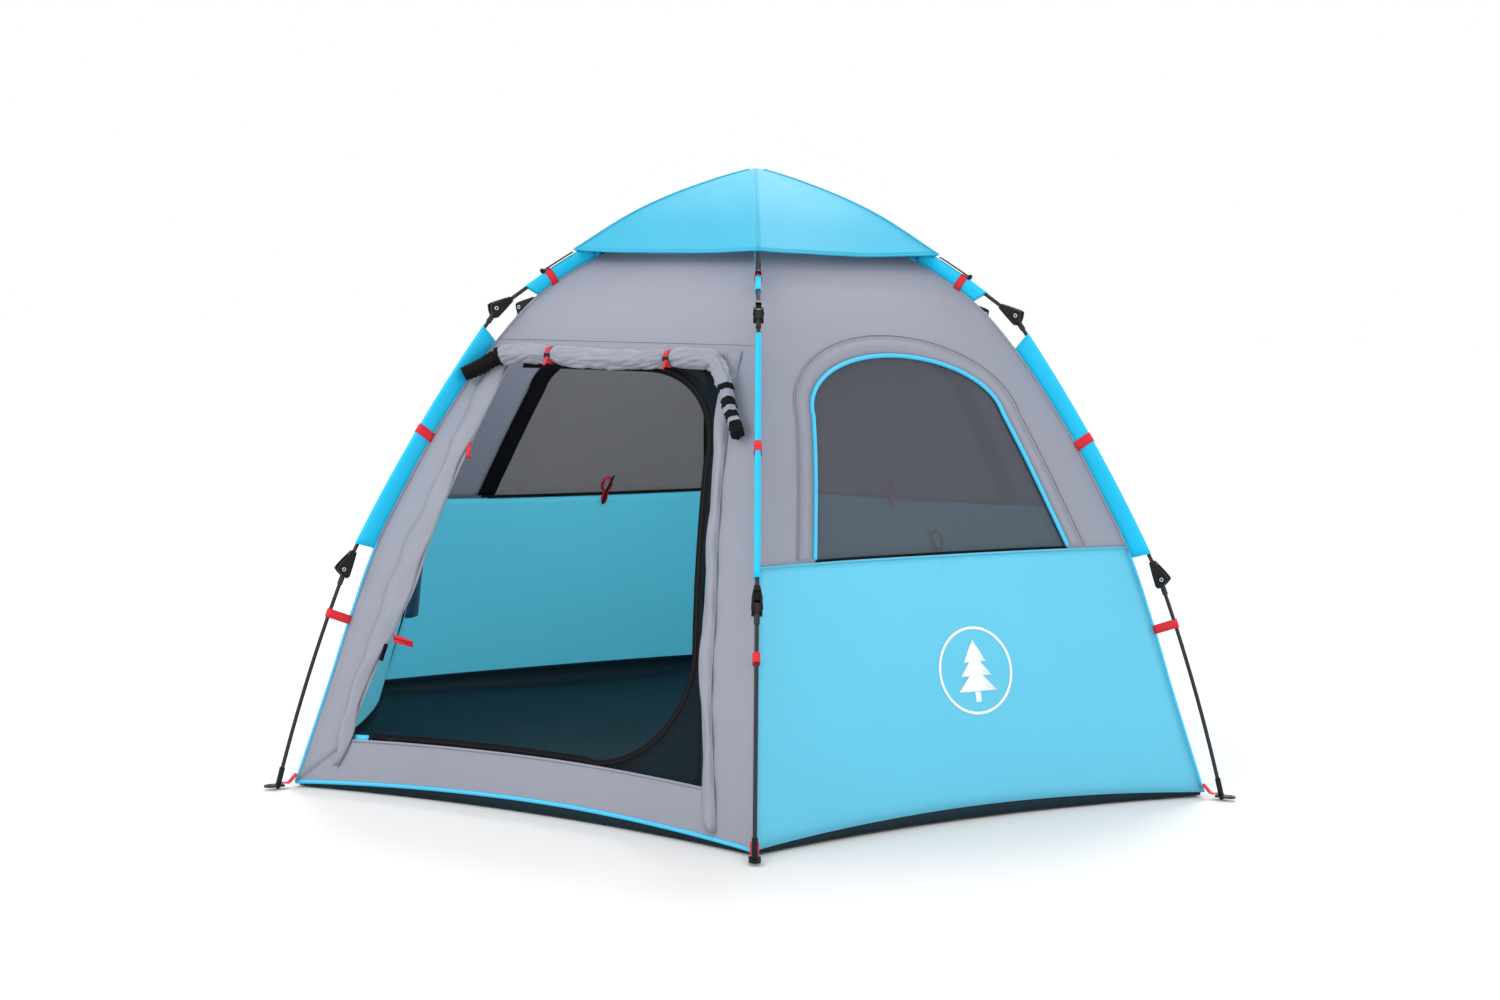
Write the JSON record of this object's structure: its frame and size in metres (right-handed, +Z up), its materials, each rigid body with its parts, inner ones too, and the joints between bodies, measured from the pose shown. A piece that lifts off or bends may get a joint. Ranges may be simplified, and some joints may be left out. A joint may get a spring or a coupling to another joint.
{
  "type": "pop-up dome tent",
  "caption": "Hexagonal instant dome tent with a push-button hub, folding elbow poles, netted windows, a roof fly and a rolled-up door.",
  "frame": {"origin": "on the ground, straight below the hub", "axes": "+Z up; the door faces -Y; +X points along pole 1"},
  "size_m": [2.462, 2.1354, 1.395],
  "materials": {
    "wall_cloth": "coated taffeta, light blue below and grey above",
    "ceiling_net": "fine net",
    "window_net": "fine net",
    "door_net": "fine net",
    "ground_cloth": "woven polyethylene",
    "grey_cloth": "coated taffeta",
    "pocket_cloth": "taffeta",
    "sleeve_cloth": "coated taffeta",
    "fly_cloth": "coated taffeta",
    "webbing": "woven webbing",
    "elastic": "elastic webbing",
    "black_plastic": "moulded, fine grain",
    "grey_plastic": "moulded",
    "rod": "glass fibre, satin",
    "steel": "plain"
  },
  "bodies": {
    "tent_body": {"wall_back_right": "wall_cloth", "wall_back": "wall_cloth", "wall_back_left": "wall_cloth", "wall_left": "wall_cloth", "wall_door": "wall_cloth", "wall_right": "wall_cloth", "floor": "ground_cloth", "ceiling_mesh": "ceiling_net", "window_mesh": "window_net", "door_mesh": "door_net", "door_zip": "black_plastic", "door_roll": "grey_cloth", "pocket": "pocket_cloth", "pole_sleeves": "sleeve_cloth", "webbing_straps": "webbing"},
    "hub": {"hub_body": "black_plastic", "hub_cap": "black_plastic", "hub_pins": "steel", "latch_spring": "steel", "roof_fly": "fly_cloth", "fly_straps": "elastic"},
    "latch": {"hub_latch": "grey_plastic"},
    "slider": {"zip_slider": "black_plastic"},
    "pull": {"zip_pull": "black_plastic"},
    "upper_1": {"upper_pole_1": "rod", "upper_elbow_1": "black_plastic"},
    "middle_1": {"middle_pole_1": "rod", "lower_elbow_1": "black_plastic"},
    "lower_1": {"lower_pole_1": "rod", "foot_1": "black_plastic"},
    "upper_2": {"upper_pole_2": "rod", "upper_elbow_2": "black_plastic"},
    "middle_2": {"middle_pole_2": "rod", "lower_elbow_2": "black_plastic"},
    "lower_2": {"lower_pole_2": "rod", "foot_2": "black_plastic"},
    "upper_3": {"upper_pole_3": "rod", "upper_elbow_3": "black_plastic"},
    "middle_3": {"middle_pole_3": "rod", "lower_elbow_3": "black_plastic"},
    "lower_3": {"lower_pole_3": "rod", "foot_3": "black_plastic"},
    "upper_4": {"upper_pole_4": "rod", "upper_elbow_4": "black_plastic"},
    "middle_4": {"middle_pole_4": "rod", "lower_elbow_4": "black_plastic"},
    "lower_4": {"lower_pole_4": "rod", "foot_4": "black_plastic"},
    "upper_5": {"upper_pole_5": "rod", "upper_elbow_5": "black_plastic"},
    "middle_5": {"middle_pole_5": "rod", "lower_elbow_5": "black_plastic"},
    "lower_5": {"lower_pole_5": "rod", "foot_5": "black_plastic"},
    "upper_6": {"upper_pole_6": "rod", "upper_elbow_6": "black_plastic"},
    "middle_6": {"middle_pole_6": "rod", "lower_elbow_6": "black_plastic"},
    "lower_6": {"lower_pole_6": "rod", "foot_6": "black_plastic"}
  },
  "joints": [
    {"name": "hub_drop", "type": "slide", "parent": "tent_body", "child": "hub", "axis": [0, 0, -1], "range_m": [0, 1.165], "deforming": ["wall_back_right", "wall_back", "wall_back_left", "wall_left", "wall_door", "wall_right", "ceiling_mesh", "window_mesh", "door_mesh", "door_zip", "door_roll", "pocket", "pole_sleeves", "webbing_straps", "roof_fly", "fly_straps"]},
    {"name": "latch_push", "type": "slide", "parent": "hub", "child": "latch", "axis": [0, 0, 1], "range_m": [0, 0.01], "stiffness_N_per_m": 400, "springref_m": -0.004, "deforming": ["latch_spring"]},
    {"name": "upper_fold_1", "type": "hinge", "parent": "hub", "child": "upper_1", "pos_m": [0.055, 0, 1.365], "axis": [0, -1, 0], "range_deg": [0, 19.5]},
    {"name": "middle_fold_1", "type": "hinge", "parent": "upper_1", "child": "middle_1", "pos_m": [0.687, 0, 1.057], "axis": [0, -1, 0], "range_deg": [0, 30.8]},
    {"name": "lower_fold_1", "type": "hinge", "parent": "middle_1", "child": "lower_1", "pos_m": [1.051, 0, 0.479], "axis": [0, -1, 0], "range_deg": [0, 180]},
    {"name": "upper_fold_2", "type": "hinge", "parent": "hub", "child": "upper_2", "pos_m": [0.0275, 0.04763, 1.365], "axis": [0.866, -0.5, 0], "range_deg": [0, 19.5]},
    {"name": "middle_fold_2", "type": "hinge", "parent": "upper_2", "child": "middle_2", "pos_m": [0.3435, 0.59496, 1.057], "axis": [0.866, -0.5, 0], "range_deg": [0, 30.8]},
    {"name": "lower_fold_2", "type": "hinge", "parent": "middle_2", "child": "lower_2", "pos_m": [0.5255, 0.91019, 0.479], "axis": [0.866, -0.5, 0], "range_deg": [0, 180]},
    {"name": "upper_fold_3", "type": "hinge", "parent": "hub", "child": "upper_3", "pos_m": [-0.0275, 0.04763, 1.365], "axis": [0.866, 0.5, 0], "range_deg": [0, 19.5]},
    {"name": "middle_fold_3", "type": "hinge", "parent": "upper_3", "child": "middle_3", "pos_m": [-0.3435, 0.59496, 1.057], "axis": [0.866, 0.5, 0], "range_deg": [0, 30.8]},
    {"name": "lower_fold_3", "type": "hinge", "parent": "middle_3", "child": "lower_3", "pos_m": [-0.5255, 0.91019, 0.479], "axis": [0.866, 0.5, 0], "range_deg": [0, 180]},
    {"name": "upper_fold_4", "type": "hinge", "parent": "hub", "child": "upper_4", "pos_m": [-0.055, 0, 1.365], "axis": [0, 1, 0], "range_deg": [0, 19.5]},
    {"name": "middle_fold_4", "type": "hinge", "parent": "upper_4", "child": "middle_4", "pos_m": [-0.687, 0, 1.057], "axis": [0, 1, 0], "range_deg": [0, 30.8]},
    {"name": "lower_fold_4", "type": "hinge", "parent": "middle_4", "child": "lower_4", "pos_m": [-1.051, 0, 0.479], "axis": [0, 1, 0], "range_deg": [0, 180]},
    {"name": "upper_fold_5", "type": "hinge", "parent": "hub", "child": "upper_5", "pos_m": [-0.0275, -0.04763, 1.365], "axis": [-0.866, 0.5, 0], "range_deg": [0, 19.5]},
    {"name": "middle_fold_5", "type": "hinge", "parent": "upper_5", "child": "middle_5", "pos_m": [-0.3435, -0.59496, 1.057], "axis": [-0.866, 0.5, 0], "range_deg": [0, 30.8]},
    {"name": "lower_fold_5", "type": "hinge", "parent": "middle_5", "child": "lower_5", "pos_m": [-0.5255, -0.91019, 0.479], "axis": [-0.866, 0.5, 0], "range_deg": [0, 180]},
    {"name": "upper_fold_6", "type": "hinge", "parent": "hub", "child": "upper_6", "pos_m": [0.0275, -0.04763, 1.365], "axis": [-0.866, -0.5, 0], "range_deg": [0, 19.5]},
    {"name": "middle_fold_6", "type": "hinge", "parent": "upper_6", "child": "middle_6", "pos_m": [0.3435, -0.59496, 1.057], "axis": [-0.866, -0.5, 0], "range_deg": [0, 30.8]},
    {"name": "lower_fold_6", "type": "hinge", "parent": "middle_6", "child": "lower_6", "pos_m": [0.5255, -0.91019, 0.479], "axis": [-0.866, -0.5, 0], "range_deg": [0, 180]},
    {"name": "zip_slide", "type": "slide", "parent": "tent_body", "child": "slider", "axis": [0.996, 0.0893, 0], "range_m": [0, 0.25]},
    {"name": "pull_swing", "type": "hinge", "parent": "slider", "child": "pull", "pos_m": [-0.37267, -0.93729, 0.11265], "axis": [-0.0234, 0.2615, 0.9649], "range_deg": [-160, 0]}
  ],
  "couplings": [
    {"joint": "upper_fold_1", "follows": "hub_drop", "rad_per_m": 0.2913},
    {"joint": "middle_fold_1", "follows": "hub_drop", "rad_per_m": 0.4611},
    {"joint": "lower_fold_1", "follows": "hub_drop", "rad_per_m": 2.6966},
    {"joint": "upper_fold_2", "follows": "hub_drop", "rad_per_m": 0.2913},
    {"joint": "middle_fold_2", "follows": "hub_drop", "rad_per_m": 0.4611},
    {"joint": "lower_fold_2", "follows": "hub_drop", "rad_per_m": 2.6966},
    {"joint": "upper_fold_3", "follows": "hub_drop", "rad_per_m": 0.2913},
    {"joint": "middle_fold_3", "follows": "hub_drop", "rad_per_m": 0.4611},
    {"joint": "lower_fold_3", "follows": "hub_drop", "rad_per_m": 2.6966},
    {"joint": "upper_fold_4", "follows": "hub_drop", "rad_per_m": 0.2913},
    {"joint": "middle_fold_4", "follows": "hub_drop", "rad_per_m": 0.4611},
    {"joint": "lower_fold_4", "follows": "hub_drop", "rad_per_m": 2.6966},
    {"joint": "upper_fold_5", "follows": "hub_drop", "rad_per_m": 0.2913},
    {"joint": "middle_fold_5", "follows": "hub_drop", "rad_per_m": 0.4611},
    {"joint": "lower_fold_5", "follows": "hub_drop", "rad_per_m": 2.6966},
    {"joint": "upper_fold_6", "follows": "hub_drop", "rad_per_m": 0.2913},
    {"joint": "middle_fold_6", "follows": "hub_drop", "rad_per_m": 0.4611},
    {"joint": "lower_fold_6", "follows": "hub_drop", "rad_per_m": 2.6966}
  ]
}
